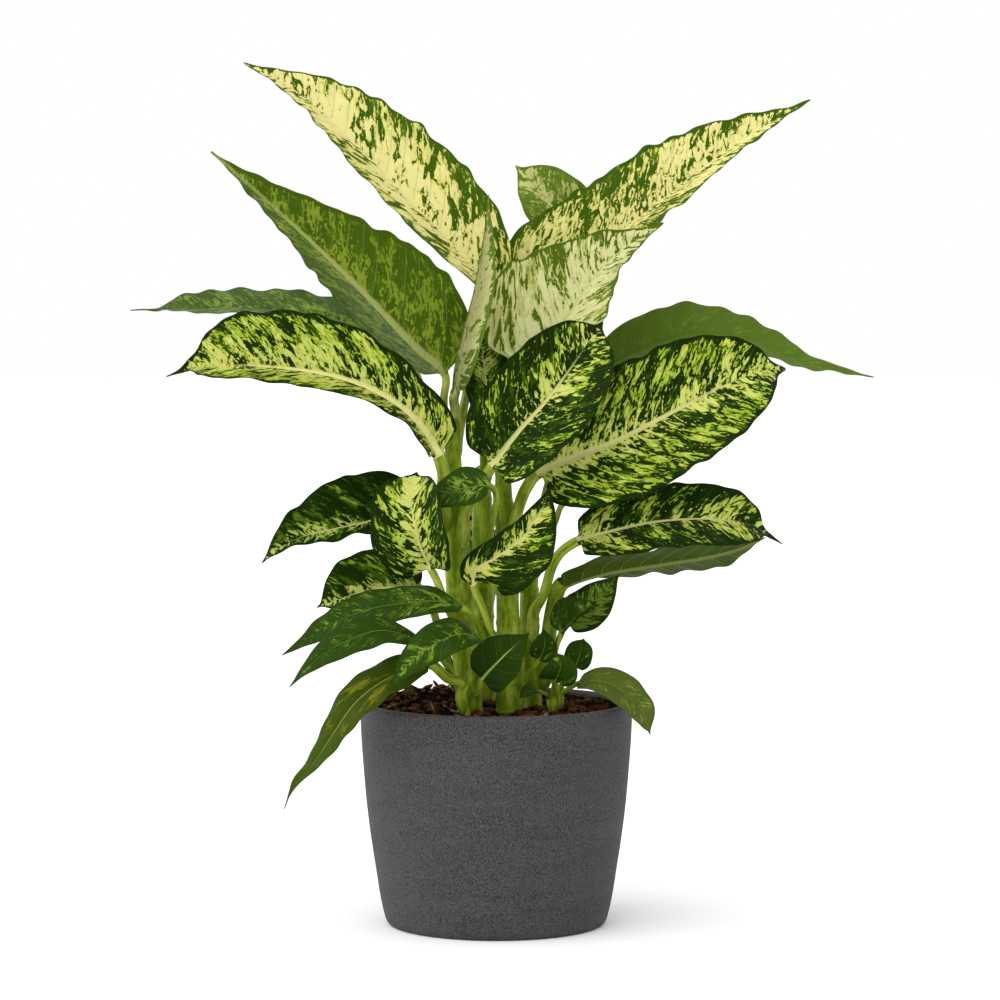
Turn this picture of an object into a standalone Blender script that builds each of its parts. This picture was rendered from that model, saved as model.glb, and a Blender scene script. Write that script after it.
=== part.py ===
"""Potted dieffenbachia: a tapered pot, its soil, six stems and thirty-three leaves.

Run with: blender --background --python part.py
Lengths are typed in millimetres and made into metres where a mesh is built. The pot stands on Z = 0
at the origin, its front towards -Y. Each leaf is one closed solid, petiole and blade together.
"""

import math
from typing import NamedTuple

import bmesh
import bpy
import numpy as np
from mathutils import Vector

MM = 0.001
GAP = 0.4  # clearance between neighbouring pieces, mm

POT_HEIGHT = 180.0
POT_SEGMENTS = 48
# Radius and height of the turned pot, from the middle of the underside, over the rim, to the floor.
POT_PROFILE = (
    (0, 0), (84, 0), (88, 2), (90.5, 8), (95, 29), (99.5, 58), (104, 90), (107.3, 123),
    (109.3, 152), (110, 175), (108.8, 179), (105.5, 180), (102.3, 179), (101, 176),
    (99, 140), (92, 70), (83, 12), (78, 8), (0, 8),
)

SOIL_RINGS = (0, 22, 44, 64, 82)
SOIL_SEGMENTS = 24
SOIL_LEVEL = 174.0
SOIL_EDGE = 177.0
MOUND_HEIGHT = 9.0
MOUND_CENTRE = (-45.0, 45.0)
MOUND_SPREAD = 35.0

STEM_SIDES = 8
STEM_DEPTH = 40.0  # how far a stem goes into the soil, mm

PETIOLE_STATIONS = 7
BLADE_STATIONS = (0, 0.03, 0.08, 0.17, 0.3, 0.43, 0.58, 0.72, 0.84, 0.91, 0.96, 1)
SMALL_PETIOLE_STATIONS = 5
SMALL_BLADE_STATIONS = (0, 0.05, 0.14, 0.3, 0.5, 0.7, 0.85, 0.95, 1)
SMALL_HALF_WIDTH = 24.0  # a blade narrower than this takes the short lists of stations
STIFFNESS = 1.5  # how strongly a blade's sections keep to its overall direction
BLADE_THICKNESS = 1.3
MIDRIB_THICKNESS = 2.4
SHEATH_RUN = 6.0  # how far a petiole runs up the side of its stem, in petiole radii

# Half width of a blade along its midrib, as a share of its widest, for each outline.
PROFILE_ALONG = (0, 0.03, 0.08, 0.17, 0.3, 0.43, 0.58, 0.72, 0.84, 0.91, 0.96, 1)
PROFILES = {
    "pointed": (0.06, 0.5, 0.78, 0.97, 1, 0.86, 0.62, 0.4, 0.2, 0.1, 0.05, 0.02),
    "oval": (0.06, 0.42, 0.68, 0.9, 1, 0.97, 0.85, 0.61, 0.34, 0.17, 0.07, 0.02),
    "blunt": (0.06, 0.42, 0.68, 0.9, 1, 1, 0.96, 0.85, 0.6, 0.32, 0.09, 0.02),
    "drip": (0.06, 0.42, 0.68, 0.9, 1, 1, 0.97, 0.88, 0.55, 0.1, 0.05, 0.02),
    "necked": (0.08, 0.46, 0.58, 0.62, 0.76, 0.95, 1, 0.97, 0.74, 0.22, 0.05, 0.02),
}
# A blade's cross-section: place across it, from -1 to 1, and share of the thickness above or below.
SECTION = (
    (-1, 0), (-0.5, 0.5), (0, 0.3), (0.5, 0.5), (1, 0), (0.5, -0.5), (0, -0.7), (-0.5, -0.5),
)


class Stem(NamedTuple):
    """A stem: its centre line from the soil up, with a radius at each point."""

    name: str
    points: tuple
    radii: tuple


class Leaf(NamedTuple):
    """A leaf: where its petiole leaves the stem, then the points that it and the midrib go through.

    face is the way that the upper side looks at the base of the blade, and face_tip at the tip.
    fold is the angle in degrees that each half rises from flat, and curl bends the margins up.
    left and right are shares of half_width, seen from above with the tip ahead. lobe sweeps the
    margins back past the petiole, and shape names the outline.
    """

    name: str
    stem: str
    height: float
    azimuth: float
    petiole: tuple
    midrib: tuple
    half_width: float
    face: tuple
    face_tip: tuple
    fold: float
    tint: str
    curl: float = 0.0
    left: float = 1.0
    right: float = 1.0
    lobe: float = 0.35
    shape: str = "oval"
    radius: float = 3.2


STEMS = (
    Stem("stem_left",
         ((-21, -28, 174), (-26, -24, 233), (-31, -20, 289), (-33, -14, 336), (-35, -8, 384), (-33, -3, 410)),
         (10, 10.5, 10.5, 9, 6.5, 4.5)),
    Stem("stem_centre",
         ((10, -22, 174), (10, -20, 233), (8, -14, 296), (6, -6, 350), (5, 2, 392)),
         (10.5, 9.5, 8.5, 7, 4.5)),
    Stem("stem_right",
         ((29, 3, 174), (27, 3, 230), (27, 7, 285), (30, 12, 330)),
         (8, 8, 7, 5)),
    Stem("stem_back",
         ((-10, 27, 174), (-11, 29, 260), (-11, 31, 325), (-12, 32, 370)),
         (9.5, 9, 8.5, 6)),
    Stem("shoot_left", ((-24, -52, 174), (-23, -54, 195), (-20, -56, 212)), (4.5, 4, 3)),
    Stem("shoot_right", ((46, -34, 174), (47, -35, 190), (48, -35, 200)), (4.5, 4, 3)),
)

LEAVES = (
    Leaf("leaf_top_left", "stem_left", 372, 70, ((-24, 20, 430), (-18, 34, 476)),
         ((-6, 40, 512), (-35, 44, 549), (-75, 54, 590), (-120, 64, 636), (-162, 70, 673), (-207, 68, 697)),
         52, (0.45, -0.77, 0.45), (0.45, -0.77, 0.45), 31, "cream", left=0.85, radius=3.4),
    Leaf("leaf_left_high", "stem_left", 385, 190, ((-42, -12, 425),),
         ((-41, -15, 444), (-64, -25, 466), (-104, -45, 509), (-144, -62, 549), (-187, -78, 589), (-222, -84, 620)),
         58, (0.4, 0.82, 0.4), (0.4, 0.82, 0.4), 32, "cream", shape="pointed"),
    Leaf("leaf_left_edge", "stem_left", 335, 130, ((-52, 22, 400), (-66, 40, 445)),
         ((-79, 52, 463), (-124, 58, 486), (-186, 60, 496), (-243, 62, 497), (-300, 60, 495)),
         32, (0, -0.35, 1), (0, -0.35, 1), 12, "marbled", shape="drip"),
    Leaf("leaf_left_marbled", "stem_left", 318, 225, ((-42, -24, 364),),
         ((-46, -27, 380), (-58, -32, 401), (-74, -36, 418), (-96, -38, 432), (-122, -38, 442),
          (-150, -38, 448), (-192, -34, 452), (-224, -28, 452), (-243, -26, 450), (-263, -24, 443)),
         46, (0, -0.8, 0.6), (0, -0.77, 0.62), 36, "marbled", left=0.8, lobe=0.15, shape="necked", radius=5.2),
    Leaf("leaf_spear", "stem_left", 0, 0, ((-33, -3, 414.5), (-34, -9, 423)),
         ((-33, -20, 430), (-29, -32, 450), (-23, -37, 474), (-14, -30, 508), (-8, -12, 553), (-6, 4, 589)),
         14, (0.3, -0.95, 0), (0.3, -0.95, 0), 50, "pale", curl=0.3, lobe=0, radius=4),
    Leaf("leaf_top_centre", "stem_centre", 366, 320, ((20, -8, 415),),
         ((30, -4, 447), (45, 0, 472), (64, 8, 499), (76, 15, 517), (94, 20, 538), (135, 24, 566)),
         54, (-0.4, -0.82, 0.4), (-0.4, -0.82, 0.4), 30, "cream", left=1.22, shape="pointed"),
    Leaf("leaf_centre_marbled", "stem_left", 305, 300, ((-18, -30, 349), (-10, -37, 361)),
         ((-3, -44, 373), (17, -56, 400), (40, -64, 426), (60, -64, 453), (73, -58, 472), (84, -48, 487)),
         45, (-0.3, -0.9, 0.3), (0, -0.95, 0.1), 24, "marbled", shape="blunt", radius=4.4),
    Leaf("leaf_right_large", "stem_centre", 290, 300, ((17, -17, 335), (24, -25, 354)),
         ((33, -30, 366), (64, -36, 380), (94, -44, 392), (144, -46, 418), (186, -42, 439), (212, -34, 448),
          (231, -20, 449)),
         53, (-0.1, -0.95, 0.25), (-0.1, -0.95, 0.25), 14, "marbled", lobe=0.4, shape="blunt", radius=4.8),
    Leaf("leaf_top_right", "stem_centre", 378, 70, ((8, 30, 446), (6, 42, 480)),
         ((10, 50, 500), (40, 58, 527), (86, 66, 549), (131, 78, 582), (176, 88, 617), (219, 92, 645),
          (259, 92, 668)),
         48, (-0.45, -0.77, 0.45), (-0.45, -0.77, 0.45), 32, "cream", right=0.85),
    Leaf("leaf_top_back", "stem_back", 350, 60, ((20, 70, 440), (70, 96, 505)),
         ((80, 104, 535), (68, 106, 558), (49, 104, 579), (32, 100, 598), (16, 96, 614)),
         31, (0.2, -0.9, 0.4), (0.2, -0.9, 0.4), 22, "pale", left=1.15, lobe=0.2, shape="blunt"),
    Leaf("leaf_right_back", "stem_right", 300, 50, ((52, 38, 390), (68, 50, 422)),
         ((87, 58, 445), (127, 66, 466), (170, 70, 476), (214, 70, 469), (251, 68, 453), (310, 64, 440)),
         34, (0, -0.6, 0.8), (0, -0.6, 0.8), 15, "dark", shape="pointed"),
    Leaf("leaf_inner_dark", "stem_back", 340, 280, ((-10, 18, 390),),
         ((-6, 13, 408), (-8, 12, 435), (-11, 13, 460), (-15, 16, 492)),
         22, (0.3, -0.95, 0), (0.3, -0.95, 0), 25, "dark"),
    Leaf("leaf_right_mid", "stem_right", 228, 285, ((38, -16, 268), (45, -24, 292), (52, -28, 303)),
         ((65, -30, 312), (98, -34, 322), (127, -36, 328), (166, -34, 330), (203, -28, 325), (229, -20, 309)),
         33, (0, -0.75, 0.66), (0, -0.75, 0.66), 12, "marbled", shape="drip", radius=4),
    Leaf("leaf_right_twisted", "stem_right", 186, 350, ((42, -4, 232), (47, -10, 262)),
         ((53, -13, 277), (83, -18, 288), (131, -16, 294), (168, -12, 298), (196, -8, 304), (217, -4, 313)),
         30, (0, 0.3, 0.95), (0, 0.6, 0.8), 3, "dark", shape="blunt", radius=6.2),
    Leaf("leaf_right_small", "stem_right", 196, 50, ((50, 8, 228),),
         ((57, 2, 243), (76, -2, 257), (88, -5, 270), (99, -6, 283)),
         18, (0.2, -0.9, 0.4), (0.2, -0.9, 0.4), 15, "dark", radius=2.4),
    Leaf("leaf_right_curled", "shoot_right", 177, 90, ((46, -26, 215),),
         ((52, -28, 238), (62, -31, 250), (72, -32, 258), (80, -28, 264)),
         20, (-0.4, -0.6, 0.7), (-0.4, -0.6, 0.7), 35, "dark", radius=2.4),
    Leaf("leaf_right_pale", "stem_right", 280, 330, ((48, 12, 325),),
         ((54, 22, 338), (71, 28, 346), (86, 34, 351), (100, 38, 342)),
         13, (-0.1, -0.8, 0.6), (-0.1, -0.8, 0.6), 20, "pale", lobe=0.1, radius=2.4),
    Leaf("leaf_front_upper", "stem_centre", 215, 250, ((-3, -46, 240), (-11, -56, 262)),
         ((-18, -64, 280), (-16, -70, 292), (1, -75, 303), (21, -71, 318), (35, -65, 339), (43, -58, 358)),
         31, (0.2, -0.93, -0.15), (0.2, -0.93, 0.1), 24, "marbled", left=0.62, right=1.08, lobe=0, radius=2.8),
    Leaf("leaf_left_upright", "stem_left", 222, 250, ((-42, -44, 268), (-48, -50, 284)),
         ((-52, -54, 292), (-60, -62, 310), (-65, -65, 330), (-67, -58, 352), (-63, -46, 368)),
         36, (-0.4, -0.9, -0.1), (-0.3, -0.7, 0.6), 28, "marbled", shape="blunt", radius=3.2),
    Leaf("leaf_left_torn", "stem_back", 285, 170, ((-32, 28, 318), (-48, 20, 328)),
         ((-60, 14, 332), (-84, 6, 331), (-108, -4, 325), (-133, -12, 320), (-157, -18, 314), (-175, -24, 305), (-187, -28, 294)),
         40, (0, -0.8, 0.6), (0, -0.8, 0.6), 28, "dark", left=0.5),
    Leaf("leaf_centre_folded", "stem_left", 262, 290, ((-8, -44, 310), (-2, -48, 334), (0, -53, 350)),
         ((-5, -61, 358), (-16, -61, 358), (-30, -60, 355), (-44, -58, 349), (-59, -54, 340)),
         18, (0, -0.8, 0.6), (0, -0.8, 0.6), 8, "dark", lobe=0, radius=2.6),
    Leaf("leaf_left_comb", "stem_left", 190, 165, ((-46, -20, 240), (-54, -22, 264)),
         ((-61, -22, 273), (-81, -24, 275), (-104, -26, 272), (-124, -29, 266), (-143, -34, 259)),
         32, (0, -0.85, 0.5), (-0.2, -0.8, 0.5), 26, "dark", left=0.5, shape="blunt"),
    Leaf("leaf_left_arching", "stem_left", 182, 300, ((-10, -46, 232), (-18, -52, 253)),
         ((-28, -62, 262), (-47, -70, 268), (-72, -68, 266), (-103, -62, 260), (-135, -57, 246), (-170, -54, 223)),
         22, (0, -0.4, 0.92), (-0.2, -0.8, 0.5), 12, "dark", curl=-0.2, radius=2.8),
    Leaf("leaf_left_low", "shoot_left", 180, 170, ((-42, -64, 220),),
         ((-58, -83, 236), (-89, -103, 248), (-117, -112, 240), (-140, -113, 226), (-161, -110, 204)),
         18, (0, -0.5, 0.85), (-0.3, -0.8, 0.5), 12, "dark", curl=-0.2, radius=2.6),
    Leaf("leaf_front_low", "shoot_left", 196, 285, ((-13, -71, 226),),
         ((-14, -84, 239), (-25, -98, 245), (-44, -112, 240), (-66, -118, 225), (-83, -116, 203)),
         19, (0, -0.6, 0.8), (-0.3, -0.9, 0.2), 18, "dark", curl=-0.2, radius=2.4),
    Leaf("leaf_front_dark", "shoot_left", 177, 330, ((-15, -62, 194),),
         ((-11, -74, 206), (2, -88, 222), (13, -92, 233), (26, -90, 244)),
         21, (0.2, -0.85, 0.5), (0.2, -0.85, 0.5), 10, "dark", radius=2.2),
    Leaf("leaf_drooping_left", "shoot_left", 176, 235, ((-38, -66, 206),),
         ((-53, -72, 218), (-87, -82, 207), (-111, -88, 189), (-128, -90, 165), (-142, -88, 144),
          (-160, -84, 122), (-167, -80, 104)),
         20, (0, -0.5, 0.87), (-0.5, -0.8, 0.3), 12, "dark", curl=-0.15, shape="pointed", radius=4.2),
    Leaf("leaf_drooping_right", "shoot_right", 177, 330, ((57, -44, 195),),
         ((65, -50, 200), (77, -55, 203), (94, -60, 199), (109, -64, 187), (118, -67, 175), (122, -67, 161)),
         16, (0, -0.55, 0.83), (0.5, -0.8, 0.3), 10, "dark", shape="blunt", radius=2.2),
    Leaf("leaf_base_curled", "shoot_right", 176, 265, ((46, -48, 197),),
         ((47, -54, 203), (50, -60, 210), (51, -62, 218), (47, -60, 226)),
         16, (0, -0.9, 0.4), (0, -0.9, 0.4), 22, "dark", radius=2),
    Leaf("leaf_base_upright", "shoot_right", 186, 20, ((60, -30, 206),),
         ((63, -30, 211), (66, -31, 219), (68, -31, 226), (70, -30, 234)),
         12, (-0.2, -0.9, 0.3), (-0.2, -0.9, 0.3), 15, "dark", shape="blunt", radius=2),
    Leaf("leaf_base_tall", "stem_centre", 178, 330, ((26, -30, 206),),
         ((34, -32, 217), (38, -33, 226), (39, -33, 234), (38, -32, 242)),
         11, (0, -0.95, 0.3), (0, -0.95, 0.3), 15, "dark", radius=2),
    Leaf("leaf_base_tiny", "shoot_right", 177, 215, ((37, -45, 192),),
         ((33, -49, 194), (28, -54, 195), (23, -58, 193), (18, -60, 189)),
         8, (0, -0.5, 0.85), (0, -0.5, 0.85), 10, "dark", radius=1.8),
    Leaf("leaf_inner_back", "stem_back", 236, 60, ((-2, 48, 272),),
         ((-6, 56, 288), (-12, 60, 306), (-18, 62, 322), (-22, 62, 338)),
         14, (0.1, -0.97, 0.1), (0.1, -0.97, 0.1), 18, "marbled", radius=2.4),
)

# Base colour and roughness of each finish.
FINISHES = {
    "concrete": ((0.065, 0.068, 0.072), 0.85),
    "soil": ((0.045, 0.028, 0.018), 0.95),
    "stem": ((0.2, 0.3, 0.07), 0.5),
    "cream": ((0.55, 0.6, 0.25), 0.45),
    "pale": ((0.42, 0.52, 0.2), 0.45),
    "marbled": ((0.2, 0.32, 0.08), 0.42),
    "dark": ((0.03, 0.09, 0.025), 0.4),
}


def clear_scene():
    for obj in list(bpy.data.objects):
        bpy.data.objects.remove(obj, do_unlink=True)


def material_for(name, finish):
    """A material of the node's own, in one of the finishes."""
    colour, roughness = FINISHES[finish]
    material = bpy.data.materials.new(name + "_material")
    material.use_nodes = True
    shader = material.node_tree.nodes["Principled BSDF"]
    shader.inputs["Base Color"].default_value = (*colour, 1)
    shader.inputs["Roughness"].default_value = roughness
    shader.inputs["Metallic"].default_value = 0
    material.diffuse_color = (*colour, 1)
    return material


def add_object(name, bm, finish):
    """Turns a bmesh in millimetres into an object in metres, with its normals outward."""
    bmesh.ops.recalc_face_normals(bm, faces=bm.faces)
    bmesh.ops.scale(bm, vec=Vector((MM, MM, MM)), verts=bm.verts)
    mesh = bpy.data.meshes.new(name)
    bm.to_mesh(mesh)
    bm.free()
    mesh.materials.append(material_for(name, finish))
    obj = bpy.data.objects.new(name, mesh)
    bpy.context.collection.objects.link(obj)
    return obj


def skin_rings(rings):
    """A closed solid through rings of points, with a flat cap at each end.

    The second half of a ring is split along the other diagonal, so that the two sides of a thin
    blade stay parallel.
    """
    bm = bmesh.new()
    loops = [[bm.verts.new(point) for point in ring] for ring in rings]
    for lower, upper in zip(loops, loops[1:]):
        for i in range(len(lower)):
            j = (i + 1) % len(lower)
            a, b, c, d = lower[i], lower[j], upper[j], upper[i]
            halves = ((a, b, c), (a, c, d)) if i < len(lower) // 2 else ((a, b, d), (b, c, d))
            for half in halves:
                bm.faces.new(half)
    bm.faces.new(loops[0])
    bm.faces.new(loops[-1])
    return bm


def smooth_curve(points, steps=12):
    """A finely sampled Catmull-Rom curve through the points."""
    points = np.asarray(points, float)
    padded = np.vstack([2 * points[0] - points[1], points, 2 * points[-1] - points[-2]])
    knots = np.concatenate([[0], np.cumsum(np.linalg.norm(np.diff(padded, axis=0), axis=1) ** 0.5)])
    samples = []
    for i in range(len(points) - 1):
        p0, p1, p2, p3 = padded[i:i + 4]
        t0, t1, t2, t3 = knots[i:i + 4]
        for t in np.linspace(t1, t2, steps, endpoint=False):
            a1 = ((t1 - t) * p0 + (t - t0) * p1) / (t1 - t0)
            a2 = ((t2 - t) * p1 + (t - t1) * p2) / (t2 - t1)
            a3 = ((t3 - t) * p2 + (t - t2) * p3) / (t3 - t2)
            b1 = ((t2 - t) * a1 + (t - t0) * a2) / (t2 - t0)
            b2 = ((t3 - t) * a2 + (t - t1) * a3) / (t3 - t1)
            samples.append(((t2 - t) * b1 + (t - t1) * b2) / (t2 - t1))
    samples.append(points[-1])
    return np.array(samples)


def unit(vector):
    return vector / np.linalg.norm(vector)


def along(curve, shares):
    """Points at these shares of the curve's length."""
    lengths = np.concatenate([[0], np.cumsum(np.linalg.norm(np.diff(curve, axis=0), axis=1))])
    return np.array([[np.interp(share * lengths[-1], lengths, curve[:, k]) for k in range(3)] for share in shares])


def ring_around(centre, tangent, radius, sides):
    """A regular ring of points square to the tangent."""
    side = unit(np.cross(tangent, (0, 1, 0.01)))
    other = np.cross(tangent, side)
    angles = 2 * math.pi * np.arange(sides) / sides
    return [centre + radius * (math.cos(a) * side + math.sin(a) * other) for a in angles]


def tube(points, radii, sides):
    """A closed tube of changing radius along straight stretches between the points."""
    points = np.asarray(points, float)
    tangents = np.gradient(points, axis=0)
    return skin_rings([ring_around(p, unit(t), r, sides) for p, t, r in zip(points, tangents, radii)])


def build_pot():
    """The pot, spun from half of its section."""
    bm = bmesh.new()
    verts = [bm.verts.new((radius, 0, height)) for radius, height in POT_PROFILE]
    edges = [bm.edges.new(pair) for pair in zip(verts, verts[1:])]
    bmesh.ops.spin(bm, geom=verts + edges, cent=(0, 0, 0), axis=(0, 0, 1), angle=2 * math.pi,
                   steps=POT_SEGMENTS, use_merge=True)
    bmesh.ops.remove_doubles(bm, verts=bm.verts, dist=0.001)
    add_object("pot", bm, "concrete")


def inner_radius(height):
    """Radius of the pot's inside wall at a height."""
    inside = POT_PROFILE[-2:POT_PROFILE.index((101, 176)) - 1:-1]
    radii, heights = zip(*inside)
    return float(np.interp(height, heights, radii))


def soil_height(x, y):
    """Height of the soil's uneven top: higher at the rim, with a mound behind the stems."""
    rise = (SOIL_EDGE - SOIL_LEVEL) * (math.hypot(x, y) / 100) ** 2
    distance = math.hypot(x - MOUND_CENTRE[0], y - MOUND_CENTRE[1])
    return SOIL_LEVEL + rise + MOUND_HEIGHT * math.exp(-0.5 * (distance / MOUND_SPREAD) ** 2)


def soil_ring(radius, height=None):
    """One ring of the soil, at a height or on its uneven top."""
    ring = []
    for i in range(SOIL_SEGMENTS):
        angle = 2 * math.pi * i / SOIL_SEGMENTS
        x, y = radius * math.cos(angle), radius * math.sin(angle)
        ring.append((x, y, soil_height(x, y) if height is None else height))
    return ring


def build_soil():
    """The soil fills the pot, and has a socket for each stem."""
    floor, wall_top = 8 + GAP, 176.0
    # A many-sided soil ring stays inside the pot's own flats.
    fit = math.cos(math.pi / POT_SEGMENTS)
    rings = [soil_ring(inner_radius(height) * fit - 2 * GAP, height) for height in (floor + 0.6, 70, 140)]
    rings.append(soil_ring(inner_radius(wall_top) * fit - 2 * GAP, wall_top))
    rings += [soil_ring(radius) for radius in reversed(SOIL_RINGS[1:])]
    soil = add_object("soil", skin_rings(rings), "soil")
    for stem in STEMS:
        cutter = add_object(stem.name + "_socket", stem_tube(stem, GAP), "soil")
        cutter.hide_render = True
        cutter.display_type = "WIRE"
        socket = soil.modifiers.new(stem.name + "_socket", "BOOLEAN")
        socket.operation = "DIFFERENCE"
        socket.object = cutter


def stem_tube(stem, clearance=0.0):
    """A stem's tube, run down into the soil; the clearance makes it fatter for a socket."""
    below = (stem.points[0][0], stem.points[0][1], stem.points[0][2] - STEM_DEPTH - clearance)
    radii = [radius + clearance for radius in (stem.radii[0], *stem.radii)]
    return tube((below, *stem.points), radii, STEM_SIDES)


def build_stems():
    for stem in STEMS:
        add_object(stem.name, stem_tube(stem), "stem")


def stem_at(name, height):
    """Centre and radius of a stem at a height."""
    stem = next(stem for stem in STEMS if stem.name == name)
    x, y, z = np.array(stem.points, float).T
    return np.interp(height, z, x), np.interp(height, z, y), np.interp(height, z, stem.radii)


def sheath_points(leaf):
    """Where the petiole runs up the side of its stem, clear of it by the gap."""
    if not leaf.height:
        return []
    points = []
    run = SHEATH_RUN * leaf.radius
    for height in (leaf.height, leaf.height + run / 2, leaf.height + run):
        x, y, radius = stem_at(leaf.stem, height)
        reach = radius + leaf.radius + 2 * GAP
        angle = math.radians(leaf.azimuth)
        points.append((x + reach * math.cos(angle), y + reach * math.sin(angle), height))
    return points


def leaf_rings(leaf):
    """The leaf's cross-sections, from the foot of its petiole to the tip of its blade."""
    small = leaf.half_width < SMALL_HALF_WIDTH
    blade_shares = SMALL_BLADE_STATIONS if small else BLADE_STATIONS
    petiole_steps = SMALL_PETIOLE_STATIONS if small else PETIOLE_STATIONS
    route = sheath_points(leaf) + list(leaf.petiole)
    curve = smooth_curve(route + list(leaf.midrib))
    joint = len(route) * 12
    petiole = along(curve[:joint + 1], np.linspace(0, 1, petiole_steps, endpoint=False))
    blade = along(curve[joint:], blade_shares)
    centres = np.vstack([petiole, blade])
    tangents = np.gradient(centres, axis=0)
    chord = unit(blade[-1] - blade[0])
    rings = []
    for i, (centre, tangent) in enumerate(zip(centres, tangents)):
        share = blade_shares[i - petiole_steps] if i >= petiole_steps else 0
        tangent = unit(tangent)
        face = (1 - share) * np.array(leaf.face) + share * np.array(leaf.face_tip)
        # Past its base the blade's sections turn less than its midrib, so that they never cross.
        heading = tangent + STIFFNESS * min(1, share / 0.2) * chord
        side = unit(np.cross(heading, face))
        normal = unit(np.cross(side, tangent))
        if i < petiole_steps:
            rings.append(petiole_section(leaf, centre, side, normal))
        else:
            rings.append(blade_section(leaf, centre, tangent, side, normal, share))
    return rings


def petiole_section(leaf, centre, side, normal):
    """An eight-sided ring whose points match the blade's."""
    angles = math.pi - math.pi / 4 * np.arange(8)
    return [centre + leaf.radius * (math.cos(a) * side + math.sin(a) * normal) for a in angles]


def blade_section(leaf, centre, tangent, side, normal, share):
    """A thin lens, folded up on both sides of the midrib."""
    width = leaf.half_width * np.interp(share, PROFILE_ALONG, PROFILES[leaf.shape])
    width = max(width, leaf.radius if share == 0 else 0.5)
    fold = math.radians(leaf.fold)
    swept = leaf.lobe * max(0, 1 - share / 0.25) ** 2 if share else 0
    ring = []
    for across, above in SECTION:
        reach = width * abs(across) * (leaf.left if across < 0 else leaf.right)
        thickness = MIDRIB_THICKNESS if across == 0 else BLADE_THICKNESS
        thickness *= 1 - 0.6 * share
        rise = reach * (math.sin(fold) + leaf.curl * abs(across)) + above * thickness
        ring.append(centre + math.copysign(reach * math.cos(fold), across) * side
                    + rise * normal - swept * reach * tangent)
    return ring


def build_leaves():
    for leaf in LEAVES:
        add_object(leaf.name, skin_rings(leaf_rings(leaf)), leaf.tint)


clear_scene()
build_pot()
build_soil()
build_stems()
build_leaves()
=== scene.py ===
"""Looks of the potted dieffenbachia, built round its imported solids.

Each leaf is swept again from the same points as its solid, with veins, ripples and a variegated skin.
Shape lengths are typed in millimetres, texture lengths in centimetres and the stage in metres.
"""

import math
from typing import NamedTuple

import bmesh
import bpy
import numpy as np
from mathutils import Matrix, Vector, noise


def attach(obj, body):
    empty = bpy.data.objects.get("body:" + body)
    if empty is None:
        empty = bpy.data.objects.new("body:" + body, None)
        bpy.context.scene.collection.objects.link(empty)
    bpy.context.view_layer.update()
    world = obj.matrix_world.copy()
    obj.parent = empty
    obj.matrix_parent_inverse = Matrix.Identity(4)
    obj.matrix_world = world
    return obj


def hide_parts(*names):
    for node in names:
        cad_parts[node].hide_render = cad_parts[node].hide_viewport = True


MM = 0.001
SEED = 7
STEM_SEED = SEED + 100

CAMERA_AT = (0.003, -3.0, 0.53)
CAMERA_AIM = (0.003, 0.0, 0.343)
CAMERA_LENS = 134.3
# Each sun's place, strength and angle in degrees.
SUNS = {"key_light": ((-1.6, -1.9, 3.0), 1.6, 80), "left_light": ((-3.0, 0.4, 0.9), 0.7, 50)}
FLOOR_REACH = 15.0
FLOOR_COLOUR = (0.95, 0.95, 0.95)
FLOOR_ROUGHNESS = 0.9

# Outside of the pot from its underside to the rim, then down its inside wall: radius and height.
POT_PROFILE = (
    (0, 0), (60, 0), (84, 0), (87.5, 1), (89.5, 4), (91, 9), (93.7, 21), (97.5, 45), (101.2, 69), (104.6, 96),
    (107.2, 125), (109, 150), (109.8, 168), (110, 175), (109.7, 177.7), (108.6, 179.3), (106.8, 180),
    (103.8, 180), (102.2, 179.2), (101.3, 177), (101, 172), (100, 158), (98.5, 140), (92, 70), (83, 12),
    (78, 8), (0, 8),
)
POT_SEGMENTS = 256
POT_RINGS = 340
POT_INNERMOST = 0.05  # radius of the rings that the end caps close

SOIL_LEVEL = 174.0
SOIL_EDGE = 177.0
SOIL_LOWERED = 1.5  # leaves room for the lumps
MOUND_HEIGHT = 9.0
MOUND_CENTRE = (-45.0, 45.0)
MOUND_SPREAD = 35.0
# Wavelength, height and noise layer of the soil's lumps and crumbs.
SOIL_LUMPS = ((16, 2.6, 3), (6, 1.8, 9), (2.4, 1.1, 5))
SOIL_RADIUS = 100.0
SOIL_INNERMOST = 0.002  # radius of the innermost ring, as a share
SOIL_SKIRT = 25.0
SOIL_RINGS = 110
SOIL_SEGMENTS = 300
LITTER_RADIUS = 95.0
CHIP_TILT = 0.35
CHIP_LIFT = 0.25  # height of a chip's middle over the soil, as a share of its size

STEM_SIDES = 40
STEM_DEPTH = 12.0
STEM_RING_SPACING = 1.5
STEM_END_TAPER = 4.0
STEM_UNEVENNESS = 0.04
UNEVENNESS_LENGTH = 17.0
NODE_SPACING = 24.0
NODE_WIDTH = 1.6
NODE_SWELL = 0.09
SHEATH_RUN = 6.0  # how far a petiole runs up the side of its stem, in petiole radii
SPEAR_DEPTH = 14.0  # how far the spear's foot goes down into its stem
STIFFNESS = 1.5  # how strongly a blade's sections keep to its overall direction

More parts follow.
